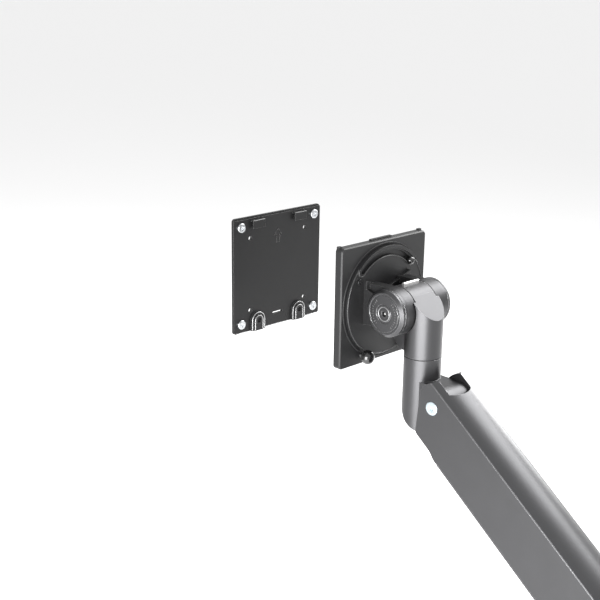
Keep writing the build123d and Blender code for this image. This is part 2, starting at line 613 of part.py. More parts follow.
# ---- neck, drawn in the head's own place
def neck_profile(pivot, link, foot, top):
    """The lower neck from the side, in (y, z)."""
    y0, z0 = -head_to_neck, -head_above_pivot
    front, crown = y0 + neck_r, z0 + neck_r
    cheek_back, cheek_low = pivot[0] - neck_r * 0.98, z0 - 3
    heel_start, heel_round, heel_end = (front, z0 + 1), (front - 9.5, foot + 12.0), (y0 - 12, foot)
    link_round, link_end = (link[0] - 10, link[1]), (link[0] - 7, link[1] + 8)
    crown_round = neck_r / sqrt(2)
    lines = [
        Polyline((front, top), heel_start),
        ThreePointArc(heel_start, heel_round, heel_end),
        Line(heel_end, (link[0], foot)),
        ThreePointArc((link[0], foot), link_round, link_end),
        Line(link_end, (cheek_back, cheek_low)),
        ThreePointArc((cheek_back, cheek_low), (pivot[0] - crown_round, z0 + crown_round), (pivot[0], crown)),
        Polyline((pivot[0], crown), (y0 - neck_r, crown), (y0 - neck_r, top), (front, top)),
    ]
    return make_face(lines)


def lower_neck_pieces():
    foot_wall, below, wide, pin_wall, relief, relief_depth = 2.5, 5.0, 1.0, 3.0, 0.5, 3.0
    y0, z0 = -head_to_neck, -head_above_pivot
    pivot = (y0 - neck_to_pivot, z0)
    link = (pivot[0], z0 - link_drop)
    top = pan_seam - pan_ring_height
    foot = link[1] - eye_r - foot_wall
    column = along_z(neck_r, 0, y0, foot - below, top)
    cheek = block(
        (-inner_half, pivot[0] - neck_r, foot - below), (inner_half, y0, z0 + neck_r))
    profile = side_shape(neck_profile(pivot, link, foot, top), neck_r + wide)
    body = (column + cheek) & profile
    room = swing_wedge(link, False, link_height / 2 + link_room_gap)
    low, high = -inner_half - below, link_band()[1] + part_gap
    body -= side_shape(room, (high - low) / 2, (low + high) / 2)
    body -= along_x(front_pin_r + pivot_bush_wall, *pivot, -inner_half - past, inner_half + past)
    body -= along_x(link_pin_r, *link, -inner_half - below, inner_half - pin_wall)
    pin = along_x(link_pin_r, *link, link_band()[0], inner_half - pin_wall)
    bush_low = top - pan_bush_length
    body -= along_z(pan_shaft_r + bush_wall, 0, y0, bush_low, top + past)
    body -= along_z(pan_shaft_r + relief, 0, y0, bush_low - relief_depth, top + past)
    bush = along_z(pan_shaft_r + bush_wall, 0, y0, bush_low, top)
    bush -= along_z(pan_shaft_r + run_fit, 0, y0, -through, 0)
    return {
        "lower_neck": body, "front_pivot_bushes": pivot_bushes(front_pin_r, pivot),
        "link_front_pin": pin, "pan_bush": bush,
    }


def neck_column():
    """The round column, cut flat where it meets the tilt hub and cleared for the ears."""
    over_hub, cut_size, cut_height, ear_clearance, wide = 10.0, 120.0, 80.0, 0.8, 40.0
    column = along_z(neck_r, 0, -head_to_neck, pan_seam, barrel_r + over_hub)
    normal = Vector(0, -1, 1).normalized()
    above = Plane(origin=Vector(0, tilt_y, 0) + normal * (barrel_r + facet_gap), z_dir=normal)
    behind = Plane(origin=(0, tilt_y, 0), z_dir=(0, 1, 1))
    for plane in (above, behind):
        column -= plane.location * Box(cut_size, cut_size, cut_height, align=LOW)
    for low, high in ((-wide, -hub_half), (hub_half, wide)):
        column -= along_x(barrel_r + ear_clearance, tilt_y, 0, low, high)
    return column


def neck_rib():
    """The brace under the tilt hub."""
    inside = -head_to_neck + neck_r - 4
    front = -head_to_neck + neck_r
    face = closed_face((inside, -56), (front, -52), (-16.5, -29.5), (-18, -15), (inside, -15))
    return side_shape(face, rib_half) & block((-60, -through, pan_seam), (60, 60, 60))


def upper_neck_pieces():
    tab_bevel, ring_inset, washer_inset = 0.6, 0.7, 0.6
    y0 = -head_to_neck
    body = neck_column() + along_x(barrel_r, tilt_y, 0, -hub_half, hub_half) + neck_rib()
    body -= along_x(tilt_shaft_r + run_fit, tilt_y, 0, -through, through)
    body -= along_z(pan_shaft_r, 0, y0, pan_seam - past, pan_seam + pan_shaft_up)
    tab = block(
        (-tab_half, tilt_y - tab_back, barrel_r - tab_root),
        (tab_half, tilt_y + tab_front, barrel_r + tab_height))
    tab = chamfer(tab.edges().filter_by(Axis.X).group_by(Axis.Z)[-1], tab_bevel)
    body -= tab
    ring_low = pan_seam - pan_ring_height
    shaft = along_z(pan_shaft_r, 0, y0, ring_low - pan_shaft_down, pan_seam + pan_shaft_up)
    ring = along_z(neck_r - ring_inset, 0, y0, ring_low + pan_ring_gap, pan_seam)
    ring -= along_z(pan_shaft_r, 0, y0, -through, 0)
    washers = []
    for low, high in ((-hub_half - tilt_washer, -hub_half), (hub_half, hub_half + tilt_washer)):
        washer = along_x(barrel_r - washer_inset, tilt_y, 0, low, high)
        washers.append(washer - along_x(tilt_shaft_r + run_fit, tilt_y, 0, -through, through))
    return {
        "upper_neck": body, "pan_shaft": shaft, "pan_ring": ring,
        "tilt_washers": Compound(washers), "tilt_stop_tab": tab,
    }


# ---- tilting head
def tilt_bracket():
    """A web on the slotted disc, with two ears that hold the tilt shaft."""
    corner_r, cap_clearance, hub_clearance = 0.5, 0.3, 5.5
    ear_low, ear_high = -16.9, 20.5
    corners = [
        (-web_half, web_peak), (-web_valley_half, web_valley), (web_valley_half, web_valley),
        (web_half, web_peak), (web_half, web_low), (-web_half, web_low),
    ]
    web_plane = Plane(origin=(0, disc_back, 0), x_dir=(1, 0, 0), z_dir=(0, -1, 0))
    body = extrude(web_plane * closed_face(*corners), amount=web_thickness)
    ear = make_hull([
        disc_2d(barrel_r, tilt_y, 0).edge(), disc_2d(corner_r, disc_back - corner_r, ear_low).edge(),
        disc_2d(corner_r, disc_back - corner_r, ear_high).edge(),
    ])
    flank = closed_face(
        (disc_back, web_low), (disc_back, 17.5), (tilt_y + 10, 12), (tilt_y + 12, -15))
    for sign in (-1, 1):
        body += side_shape(ear, (ear_outer - ear_inner) / 2, sign * (ear_outer + ear_inner) / 2)
        body += side_shape(flank, (web_half - ear_outer) / 2, sign * (web_half + ear_outer) / 2)
    for low, high in ((-through, -ear_outer), (ear_outer, through)):
        body -= along_x(barrel_r + cap_clearance, tilt_y, 0, low, high)
    body -= along_x(barrel_r + hub_clearance, tilt_y, 0, -ear_inner, ear_inner)
    body -= along_x(tilt_shaft_r, tilt_y, 0, -through, through)
    return body - along_y(rotation_bolt_r, 0, 0, -through, 0)


def slotted_disc():
    """The disc with its curved slot, a raised rim beside it and one small screw."""
    rim_outer, rim_inner, rim_extra, rim_height = slot_r + 7, slot_r + 4.4, 3.0, 1.4
    rim_proud, head_r, head_height, socket, slot_depth = 2.2, 2.8, 1.6, 2.0, 6.0
    disc = along_y(disc_r, 0, 0, disc_back, -disc_gap)
    slot_plane = Plane(origin=(0, disc_back - past, 0), x_dir=(1, 0, 0), z_dir=(0, -1, 0))
    rim = arc_band(rim_outer, rim_inner, slot_half_angle + rim_extra)
    rim = extrude(slot_plane * rim, amount=rim_height, both=True)
    disc += rim & block((-through, disc_back - rim_proud, -through), (through, disc_back + past, through))
    half = slot_width / 2
    groove = arc_band(slot_r + half, slot_r - half, slot_half_angle, round_ends=True)
    disc -= extrude(slot_plane * groove, amount=slot_depth, both=True)
    disc -= along_y(rotation_bolt_r, 0, 0, -through, through)
    angle = radians(disc_screw_angle)
    x, z = disc_screw_place_r * cos(angle), disc_screw_place_r * sin(angle)
    screw = head_screw(disc_screw_r, head_r, head_height, disc_thickness - 0.1, socket)
    disc -= along_y(disc_screw_r, x, z, -through, through)
    return disc, turned_to((0, -1, 0), (x, disc_back, z)) * screw


def tilt_pieces():
    bolt_short, stack_gap = 0.4, 0.1
    disc, screw = slotted_disc()
    bolt = along_y(rotation_bolt_r, 0, 0, -rotation_bolt_back, plate_depth - bolt_short)
    stack = plate_face + stack_gap
    washer = along_y(rotation_washer_r, 0, 0, stack, stack + rotation_washer_height) - bolt
    nut_place = turned_to((0, 1, 0), (0, stack + rotation_washer_height, 0))
    nut = nut_place * extrude(RegularPolygon(nut_across_r, 6), amount=nut_height)
    nut -= along_y(rotation_bolt_r, 0, 0, -through, through)
    return {
        "tilt_bracket": tilt_bracket(), "slotted_disc": disc, "disc_screw": screw,
        "tilt_shaft": along_x(tilt_shaft_r, tilt_y, 0, -ear_outer, ear_outer),
        "tilt_end_caps": Compound([end_cap(-1), end_cap(1)]),
        "rotation_bolt": bolt, "rotation_washer": washer, "rotation_nut": nut,
    }


def arc_band(outer, inner, half_angle, round_ends=False):
    """A curved band about straight up, in (x, z)."""
    across, up = sin(radians(half_angle)), cos(radians(half_angle))
    wedge = closed_face(
        (0, 0), (-through * across, through * up), (0, 1.5 * through), (through * across, through * up))
    band = (Circle(outer) - Circle(inner)) & wedge
    if round_ends:
        middle = (outer + inner) / 2
        for sign in (-1, 1):
            band += Pos(sign * middle * across, middle * up) * Circle((outer - inner) / 2)
    return band


def end_cap(sign):
    """A cap on the tilt shaft: a bevelled rim, a fine groove, two rings and a socket."""
    inset, bevel, socket, socket_depth = 0.1, 2.6, 5.0, 4.0
    groove_from_ear, groove_half, groove_depth = 4.0, 0.4, 0.7
    rings = ((17.6, 16.8, 0.6), (9.2, 7.9, 0.8))      # outer radius, inner radius, depth
    near, far = sorted((sign * ear_outer, sign * cap_outer))
    cap = along_x(barrel_r - inset, tilt_y, 0, near, far)
    outer_face = cap.faces().sort_by(Axis.X)[-1 if sign > 0 else 0]
    cap = chamfer(outer_face.edges(), bevel)
    groove_x = sign * (ear_outer + groove_from_ear)
    ring = along_x(barrel_r + past, tilt_y, 0, groove_x - groove_half, groove_x + groove_half)
    cap -= ring - along_x(barrel_r - groove_depth, tilt_y, 0, -through, through)
    out = turned_to((sign, 0, 0), (sign * cap_outer, tilt_y, 0))
    for outer, inner, depth in rings:
        tube = Cylinder(outer, depth + past, align=LOW) - Cylinder(inner, depth + past, align=LOW)
        cap -= out * (Pos(0, 0, -depth) * tube)
    return cap - out * hex_socket(socket, socket_depth)


# ---- head plate, thumb screws and quick-release plate
def plate_body():
    """The square plate: a bevelled back and a shallow tray that faces the screen."""
    bevel, tray_corner = 1.0, 2.0
    top = plate_side / 2
    front = Plane(origin=(0, 0, 0), x_dir=(1, 0, 0), z_dir=(0, -1, 0))
    outer = RectangleRounded(plate_side, plate_side, plate_corner)
    plate = extrude(front * outer, amount=-plate_depth)
    plate = chamfer(plate.faces().sort_by(Axis.Y)[0].outer_wire().edges(), bevel)
    tray_side = plate_side - 2 * plate_rim
    tray = extrude(front * RectangleRounded(tray_side, tray_side, tray_corner), amount=-plate_depth - past)
    plate -= tray & block((-through, plate_face, -through), (through, plate_depth + past, through))
    lip_y = plate_depth - lip_depth
    plate += block((-lip_half, lip_y, top - past), (lip_half, plate_depth, top + lip_proud))
    for low, high in ((past - top, corner_lip - top), (top - corner_lip, top - past)):
        plate += block((low, lip_y, top - past), (high, plate_depth, top + corner_lip_proud))
    return plate


def head_plate_pieces():
    thread_play, hook_room, hook_below = 0.1, 0.5, 12.0
    plate = plate_body()
    top, back = plate_side / 2, plate_depth + past
    for sign in (-1, 1):
        x, half = sign * hook_x, hook_width / 2 + pocket_gap
        plate -= block((x - half, plate_face, hook_top - hook_below), (x + half, back, hook_top + hook_room))
        plate += hook_bar(x)
        x, half = sign * thumb_x, boss_width / 2 + pocket_gap
        plate -= block((x - half, plate_face, -top - 2 * past), (x + half, back, thumb_z))
        plate -= along_y(thumb_thread_r + thread_play, x, thumb_z, -5, plate_depth)
        for z in (-vesa_wide / 2, vesa_wide / 2):
            plate -= along_y(vesa_head_r + pocket_gap, sign * vesa_wide / 2, z, plate_face, back)
    bush_r = rotation_bolt_r + bush_wall
    plate -= along_y(bush_r, 0, 0, -5, plate_depth)
    bush = along_y(bush_r, 0, 0, 0, plate_face)
    bush -= along_y(rotation_bolt_r + run_fit, 0, 0, -through, through)
    stop, peg_hole = rotation_stop()
    return {"head_plate": plate - peg_hole, "rotation_bush": bush, "rotation_stop_screw": stop}


def rotation_stop():
    """The knob that runs in the disc's slot, and the hole for its peg in the head plate."""
    slot_play, over_disc, overlap, knob_r, knob_height, knob_round = 0.3, 0.6, 0.3, 3.8, 4.0, 1.8
    peg_r, peg_length, peg_in = 2.0, 4.0, 3.0
    angle = radians(90 - slot_half_angle)
    place = turned_to((0, -1, 0), (slot_r * cos(angle), 0, slot_r * sin(angle)))
    stack = disc_thickness + disc_gap
    neck = Cylinder(slot_width / 2 - slot_play, stack + over_disc, align=LOW)
    knob = Pos(0, 0, stack + overlap) * Cylinder(knob_r, knob_height, align=LOW)
    knob = fillet(knob.faces().sort_by(Axis.Z)[-1].edges(), knob_round)
    peg = Pos(0, 0, -peg_in) * Cylinder(peg_r, peg_length, align=LOW)
    return place * (neck + knob + peg), place * peg


def hook_bar(x):
    """The bridge that a hook of the quick-release plate drops behind."""
    root, opening_drop = 0.1, 9.0
    half = hook_width / 2 + pocket_gap
    bar = block(
        (x - half - bridge_post, plate_face - root, bridge_top - bridge_height),
        (x + half + bridge_post, plate_depth, bridge_top))
    opening = block(
        (x - half, plate_face - past, bridge_top - opening_drop),
        (x + half, plate_depth - bridge_metal, bridge_top + past))
    return bar - opening


def thumb_pieces():
    dome, washer_height_thumb = 4.2, 1.0
    pieces = {}
    for name, x in (("left", -thumb_x), ("right", thumb_x)):
        washer = along_y(thumb_washer_r, x, thumb_z, -thumb_foot, -thumb_foot + washer_height_thumb)
        washer -= along_y(thumb_thread_r + run_fit, x, thumb_z, -through, through)
        grip = along_y(thumb_r, x, thumb_z, -thumb_stand, -thumb_foot)
        grip = fillet(grip.faces().sort_by(Axis.Y)[0].edges(), dome)
        thread = along_y(thumb_thread_r, x, thumb_z, -thumb_foot - past, plate_depth + thumb_reach)
        pieces[f"thumb_washer_{name}"] = washer
        pieces[f"thumb_screw_{name}"] = grip + thread
    return pieces


def adapter_pieces():
    arrow_depth = 0.5
    face, back = adapter_distance, adapter_distance + adapter_thickness
    front = Plane(origin=(0, face, 0), x_dir=(1, 0, 0), z_dir=(0, -1, 0))
    edge = adapter_side / 2
    outline = RectangleRounded(adapter_side, adapter_side, adapter_corner)
    plate = extrude(front * outline, amount=-adapter_thickness)
    plate -= block(
        (-edge - past, face - past, hook_top + adapter_step_gap),
        (edge + past, face + adapter_step, edge + past))
    above_edge = block((-through, 0, -edge), (through, 2 * through, 0))
    screws = []
    inserts = []
    for sx in (-1, 1):
        for sz in (-1, 1):
            x, z = sx * vesa_wide / 2, sz * vesa_wide / 2
            plate -= along_y(vesa_shoulder_r, x, z, face - past, back + past)
            screws.append(turned_to((0, -1, 0), (x, face, z)) * vesa_screw())
            x, z = sx * vesa_narrow / 2, sz * vesa_narrow / 2
            plate -= along_y(vesa_hole_r, x, z, face - past, back + past)
        plate += quick_hook(sx * hook_x, face)
        x = sx * thumb_x
        for half, proud in ((boss_width / 2, boss_proud - boss_step), (boss_width / 2 - boss_ledge, boss_proud)):
            plate += extrude(front * boss_outline(half, x, edge), amount=proud) & above_edge
        plate -= along_y(insert_r, x, thumb_z, face - boss_proud - past, back + past)
        insert = along_y(insert_r, x, thumb_z, face - boss_proud, back)
        inserts.append(insert - along_y(thumb_thread_r + run_fit, x, thumb_z, 0, 2 * through))
    slot = SlotOverall(middle_slot_length, middle_slot_width)
    plate -= Pos(0, 0, middle_slot_z) * extrude(front * slot, amount=2 * adapter_thickness, both=True)
    plate -= extrude(front * arrow_outline(), amount=-arrow_depth)
    return {
        "adapter_plate": plate, "adapter_screws": Compound(screws), "thumb_inserts": Compound(inserts),
    }


def vesa_screw():
    """A cross-head screw that stands out of the plate as the screen's stud."""
    head_round, cross_length, cross_width, cross_depth = 1.2, 5.0, 1.1, 2.0
    head_part = Cylinder(vesa_head_r, vesa_head_height, align=LOW)
    head_part = fillet(head_part.faces().sort_by(Axis.Z)[-1].edges(), head_round)
    length = adapter_thickness + vesa_stud
    shank = Pos(0, 0, -length) * Cylinder(vesa_screw_r, length, align=LOW)
    shank += Pos(0, 0, -adapter_thickness) * Cylinder(vesa_shoulder_r, adapter_thickness, align=LOW)
    cross = Box(cross_length, cross_width, cross_depth) + Box(cross_width, cross_length, cross_depth)
    return head_part + shank - Pos(0, 0, vesa_head_height) * cross


def quick_hook(x, face):
    """A hook of two walls: one stands off the plate, the other joins it at the top."""
    root = 0.1
    half, front, low = hook_width / 2, face - hook_proud, hook_top - hook_drop
    wall = block((x - half, front, low), (x + half, front + hook_metal, hook_top))
    roof = block((x - half, front, hook_top - hook_metal), (x + half, face + root, hook_top))
    return wall + roof


def boss_outline(half, x, edge):
    """A raised pad with a round top that runs to the plate's lower edge."""
    return Pos(x, thumb_z) * Circle(half) + Pos(x, (thumb_z - edge) / 2) * Rectangle(2 * half, edge + thumb_z)


def arrow_outline():
    """The outline of an arrow that points up: the way the screen lifts off."""
    line_half = 0.35
    return arrow(line_half) - arrow(-line_half)


def arrow(grow):
    """The arrow, grown all round; its low end, neck and tip lie at these heights."""
    low, neck, tip = 28 - grow, 36 - grow, 42 + 1.6 * grow
    stem, barb = 2 + grow, 4.6 + 2 * grow
    return closed_face(
        (-stem, low), (stem, low), (stem, neck), (barb, neck), (0, tip), (-barb, neck), (-stem, neck))


def main():
    os.makedirs("parts", exist_ok=True)
    base, post_bolts = base_pieces()
    bracket, clamp_bolts = clamp_bracket()
    for bolt in clamp_bolts:
        base["base_plate"] -= bolt
    base["clamp_bracket"] = bracket
    base["base_bolts"] = Compound(post_bolts + clamp_bolts)
    arm_pieces = {**upper_arm_pieces(), "levelling_link": levelling_link(), **gas_spring()}
    head_pieces = {
        **lower_neck_pieces(), **upper_neck_pieces(), **tilt_pieces(), **head_plate_pieces(),
        **thumb_pieces(), **adapter_pieces(),
    }
    pieces = {**base, **clamp_spindle(), **lower_arm_pieces(), **elbow_pieces()}
    pieces |= {name: Pos(elbow_x, 0, 0) * piece for name, piece in arm_pieces.items()}
    pieces |= {name: head * piece for name, piece in head_pieces.items()}
    for name, piece in pieces.items():
        export_step(piece, f"parts/{name}.step")


main()
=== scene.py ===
import json
from math import cos, pi, radians, sin

import bmesh
import bpy
from mathutils import Matrix, Vector


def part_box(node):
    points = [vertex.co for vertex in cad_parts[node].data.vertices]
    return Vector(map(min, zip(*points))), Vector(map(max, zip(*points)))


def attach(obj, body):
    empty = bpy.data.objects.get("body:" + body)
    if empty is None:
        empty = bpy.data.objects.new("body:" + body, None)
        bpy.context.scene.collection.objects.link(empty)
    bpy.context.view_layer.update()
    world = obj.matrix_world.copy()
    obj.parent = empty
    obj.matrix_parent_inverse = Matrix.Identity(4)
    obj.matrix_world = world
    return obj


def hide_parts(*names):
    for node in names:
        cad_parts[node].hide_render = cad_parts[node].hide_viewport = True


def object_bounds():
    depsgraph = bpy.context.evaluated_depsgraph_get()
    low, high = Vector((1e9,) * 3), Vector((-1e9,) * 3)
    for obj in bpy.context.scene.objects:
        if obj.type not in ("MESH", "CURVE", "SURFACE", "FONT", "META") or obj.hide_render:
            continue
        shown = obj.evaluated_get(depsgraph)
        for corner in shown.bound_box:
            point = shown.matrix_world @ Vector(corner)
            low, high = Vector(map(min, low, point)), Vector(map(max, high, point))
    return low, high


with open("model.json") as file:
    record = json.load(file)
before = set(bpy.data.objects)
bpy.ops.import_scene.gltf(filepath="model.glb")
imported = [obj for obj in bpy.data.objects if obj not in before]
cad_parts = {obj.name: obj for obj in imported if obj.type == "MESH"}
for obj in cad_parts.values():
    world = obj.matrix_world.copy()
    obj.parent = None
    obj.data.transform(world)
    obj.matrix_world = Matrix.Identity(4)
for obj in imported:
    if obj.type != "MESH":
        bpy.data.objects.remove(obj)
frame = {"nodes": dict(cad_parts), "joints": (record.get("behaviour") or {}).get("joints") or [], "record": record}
cad_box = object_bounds()
nodes = frame["nodes"]
joints = {joint["name"]: joint for joint in frame["joints"]}

# Metres throughout.  +Z is up, +Y points at the screen, +X is to the right of
# somebody who stands behind it.
MM = 0.001
WELD = 0.000001           # vertices closer than this are one vertex


# ---- places, from the frame
def joint_place(name):
    return Vector(joints[name]["pos_m"])


head_centre = joint_place("head_rotation")
tilt_centre = joint_place("head_tilt")
cap_low, cap_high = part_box("tilt_end_caps")
barrel_r = (cap_high.z - cap_low.z) / 2
BACK = Vector((0, -1, 0))


# ---- materials
def new_material(name):
    material = bpy.data.materials.new(name)
    material.use_nodes = True
    tree = material.node_tree
    return material, tree, tree.nodes["Principled BSDF"]


def add(tree, kind, **values):
    node = tree.nodes.new(kind)
    for key, value in values.items():
        setattr(node, key, value)
    return node


def noise(tree, coords, scale, detail=2.0, roughness=0.5):
    texture = add(tree, "ShaderNodeTexNoise")
    texture.inputs["Scale"].default_value = scale
    texture.inputs["Detail"].default_value = detail
    texture.inputs["Roughness"].default_value = roughness
    tree.links.new(coords.outputs["Object"], texture.inputs["Vector"])
    return texture


def ramp(tree, source, low, high, dark, light):
    """A value that runs from dark to light while source runs from low to high."""
    spread = add(tree, "ShaderNodeMapRange")
    spread.inputs["From Min"].default_value = low
    spread.inputs["From Max"].default_value = high
    spread.inputs["To Min"].default_value = dark
    spread.inputs["To Max"].default_value = light
    tree.links.new(source, spread.inputs["Value"])
    return spread.outputs["Result"]


def mix_colour(tree, factor, first, second):
    """Mix from first to second; each is a colour or another node's output."""
    mix = add(tree, "ShaderNodeMix", data_type="RGBA")
    for socket, colour in (("A", first), ("B", second)):
        if isinstance(colour, bpy.types.NodeSocket):
            tree.links.new(colour, mix.inputs[socket])
        else:
            mix.inputs[socket].default_value = (*colour, 1)
    tree.links.new(factor, mix.inputs["Factor"])
    return mix.outputs["Result"]


def rounded_normal(tree, radius):
    bevel = add(tree, "ShaderNodeBevel", samples=4)
    bevel.inputs["Radius"].default_value = radius
    return bevel.outputs["Normal"]


def worn_and_highlit_edge(tree, radius):
    """1 on a hard edge and 0 on a flat, from how far a rounded normal turns: the mask of the lighter edges, which
    are wear and painted highlights in one.
    """
    flat, turned = 0.995, 0.80
    geometry = add(tree, "ShaderNodeNewGeometry")
    dot = add(tree, "ShaderNodeVectorMath", operation="DOT_PRODUCT")
    tree.links.new(rounded_normal(tree, radius), dot.inputs[0])
    tree.links.new(geometry.outputs["Normal"], dot.inputs[1])
    return ramp(tree, dot.outputs["Value"], flat, turned, 0.0, 1.0)


def bumped(tree, shader, height, strength, depth, normal=None):
    """Raise the surface by a texture's height, over a normal if one is given."""
    bump = add(tree, "ShaderNodeBump")
    bump.inputs["Strength"].default_value = strength
    bump.inputs["Distance"].default_value = depth * MM
    tree.links.new(height, bump.inputs["Height"])
    if normal:
        tree.links.new(normal, bump.inputs["Normal"])
    tree.links.new(bump.outputs["Normal"], shader.inputs["Normal"])


def finish(name, colour, rough, metallic=0.0, grain=2200.0, grain_depth=0.02, cloud=0.06,
           edge=None, coat=0.0, specular=0.5):
    """A coated or moulded surface: fine grain, soft clouding and lighter edges, which are wear and painted
    highlights in one.
    """
    cloud_scale, cloud_detail, cloud_rough = 38.0, 4.0, 0.6
    fleck_detail, fleck_rough = 2.0, 0.55
    edge_radius, corner_radius, bump_strength, coat_rough = 0.0003, 0.0004, 0.35, 0.12
    material, tree, shader = new_material(name)
    coords = add(tree, "ShaderNodeTexCoord")
    clouds = noise(tree, coords, cloud_scale, cloud_detail, cloud_rough)
    fleck = noise(tree, coords, grain, fleck_detail, fleck_rough)
    dark = [c * (1 - cloud) for c in colour]
    light = [min(1.0, c * (1 + cloud)) for c in colour]
    tone = mix_colour(tree, ramp(tree, clouds.outputs["Fac"], 0.3, 0.7, 0, 1), dark, light)
    # edge is the colour painted on hard edges: partly wear, partly a painted highlight.
    if edge:
        tone = mix_colour(tree, worn_and_highlit_edge(tree, edge_radius), tone, edge)
    tree.links.new(tone, shader.inputs["Base Color"])
    gloss = ramp(tree, fleck.outputs["Fac"], 0.25, 0.75, rough - 0.04, rough + 0.05)
    tree.links.new(gloss, shader.inputs["Roughness"])
    shader.inputs["Metallic"].default_value = metallic
    shader.inputs["Specular IOR Level"].default_value = specular
    shader.inputs["Coat Weight"].default_value = coat
    shader.inputs["Coat Roughness"].default_value = coat_rough
    corners = rounded_normal(tree, corner_radius)
    bumped(tree, shader, fleck.outputs["Fac"], bump_strength, grain_depth, corners)
    return material


def turned_steel(name, colour, rough, axis):
    """Bare or plated metal with the fine rings that a lathe leaves across an axis."""
    coarse, fine, ring_detail, darker, rougher = 60.0, 5200.0, 3.0, 0.86, 0.1
    bump_strength, ring_depth = 0.12, 0.01
    material, tree, shader = new_material(name)
    coords = add(tree, "ShaderNodeTexCoord")
    stretch = add(tree, "ShaderNodeMapping")
    scale = [coarse, coarse, coarse]
    scale[axis] = fine
    stretch.inputs["Scale"].default_value = scale
    tree.links.new(coords.outputs["Object"], stretch.inputs["Vector"])
    rings = add(tree, "ShaderNodeTexNoise")
    rings.inputs["Scale"].default_value = 1.0
    rings.inputs["Detail"].default_value = ring_detail
    tree.links.new(stretch.outputs["Vector"], rings.inputs["Vector"])
    ring = rings.outputs["Fac"]
    tone = mix_colour(tree, ramp(tree, ring, 0.3, 0.7, 0, 1), [c * darker for c in colour], colour)
    tree.links.new(tone, shader.inputs["Base Color"])
    tree.links.new(ramp(tree, ring, 0.3, 0.7, rough, rough + rougher), shader.inputs["Roughness"])
    shader.inputs["Metallic"].default_value = 1.0
    bumped(tree, shader, ring, bump_strength, ring_depth)
    return material


GUNMETAL = (0.076, 0.076, 0.0785)
BLACK = (0.010, 0.010, 0.0104)

# The light edge colours below are wear and painted highlights on the hard edges.
gunmetal = finish("gunmetal_coat", GUNMETAL, 0.36, metallic=0.92, grain=2600.0, grain_depth=0.012,
                  cloud=0.03, edge=(0.50, 0.50, 0.51))
black_cast = finish("black_powder_coat", BLACK, 0.40, grain=1900.0, grain_depth=0.03,
                    edge=(0.10, 0.10, 0.10), specular=0.36)
black_sheet = finish("black_sheet_coat", (0.014, 0.014, 0.0144), 0.40, grain=2100.0,
                     grain_depth=0.025, edge=(0.18, 0.18, 0.18), specular=0.40)
# A darker copy of the sheet coat for the quick-release plate: painted shade.
plate_black_shaded = finish("black_plate_coat_painted_shade", (0.0075, 0.0075, 0.0078), 0.42, grain=2100.0,
                     grain_depth=0.025, edge=(0.14, 0.14, 0.14), specular=0.27)
# A lighter black than the sheet coat, so the lip's highlights come out brighter: painted highlight.
lip_black_highlit = finish("polished_lip_painted_highlight", (0.055, 0.055, 0.056), 0.24, metallic=0.55, grain=2400.0,
                   grain_depth=0.008)
# A light grey metal for thin beads on edges: painted highlights.
highlight_grey = finish("highlight_grey", (0.34, 0.34, 0.34), 0.34, metallic=0.85, grain=1800.0,
                      cloud=0.2)
moulded = finish("moulded_cover", (0.040, 0.040, 0.042), 0.58, grain=1500.0, grain_depth=0.05)
gloss_black = finish("gloss_knob", (0.006, 0.006, 0.006), 0.14, grain=600.0, grain_depth=0.004,
                     coat=0.8)
black_oxide = finish("black_oxide", (0.030, 0.030, 0.031), 0.34, metallic=0.8, grain=3000.0,
                     grain_depth=0.01)
nylon = finish("dark_nylon", (0.012, 0.012, 0.012), 0.55, grain=1200.0)
rubber = finish("rubber", (0.016, 0.016, 0.016), 0.78, grain=900.0, grain_depth=0.08)
cylinder_coat = finish("cylinder_coat", (0.012, 0.012, 0.0125), 0.32, grain=2600.0,
                       grain_depth=0.01, coat=0.2)
cap_metal = finish("cap_light_coat", (0.34, 0.34, 0.345), 0.34, metallic=0.92, grain=2600.0,
                   grain_depth=0.01, cloud=0.03)
zinc = turned_steel("bright_zinc", (0.56, 0.575, 0.59), 0.20, axis=1)
zinc_side = turned_steel("bright_zinc_side", (0.64, 0.73, 0.78), 0.22, axis=0)
steel = turned_steel("turned_steel", (0.62, 0.63, 0.64), 0.28, axis=2)
bright = turned_steel("bright_steel", (0.90, 0.90, 0.89), 0.30, axis=0)


def shaded_web_bracket():
    """Gunmetal ears and a web painted black past the ears' round rim: the black on the web is painted shade."""
    coat_start, coat_end, metal = 0.1 * MM, 0.3 * MM, 0.92
    material = black_cast.copy()
    material.name = "bracket_painted_shade_web"
    tree = material.node_tree
    shader = tree.nodes["Principled BSDF"]
    coords = add(tree, "ShaderNodeTexCoord")
    away = add(tree, "ShaderNodeVectorMath", operation="SUBTRACT")
    away.inputs[1].default_value = tilt_centre
    tree.links.new(coords.outputs["Object"], away.inputs[0])
    flat = add(tree, "ShaderNodeVectorMath", operation="MULTIPLY")
    flat.inputs[1].default_value = (0, 1, 1)
    tree.links.new(away.outputs["Vector"], flat.inputs[0])
    reach = add(tree, "ShaderNodeVectorMath", operation="LENGTH")
    tree.links.new(flat.outputs["Vector"], reach.inputs[0])
    # Past the ears' rim the colour turns to black: painted shade on the web.
    outside = ramp(tree, reach.outputs["Value"], barrel_r + coat_start, barrel_r + coat_end, 0.0, 1.0)
    black_tone = shader.inputs["Base Color"].links[0].from_socket
    tree.links.new(mix_colour(tree, outside, GUNMETAL, black_tone), shader.inputs["Base Color"])
    tree.links.new(ramp(tree, outside, 0.0, 1.0, metal, 0.0), shader.inputs["Metallic"])
    return material


BY_SLOT = {
    "gunmetal_paint": gunmetal, "gunmetal_steel": gunmetal, "black_cast": black_cast,
    "black_sheet": black_sheet, "cover_plastic": moulded, "knob_black": gloss_black,
    "zinc_screws": zinc, "black_screws": black_oxide, "steel": steel, "bright_steel": bright,
    "nylon": nylon, "rubber": rubber, "cylinder_paint": cylinder_coat,
}


def dress(obj, material):
    obj.data.materials.clear()
    obj.data.materials.append(material)


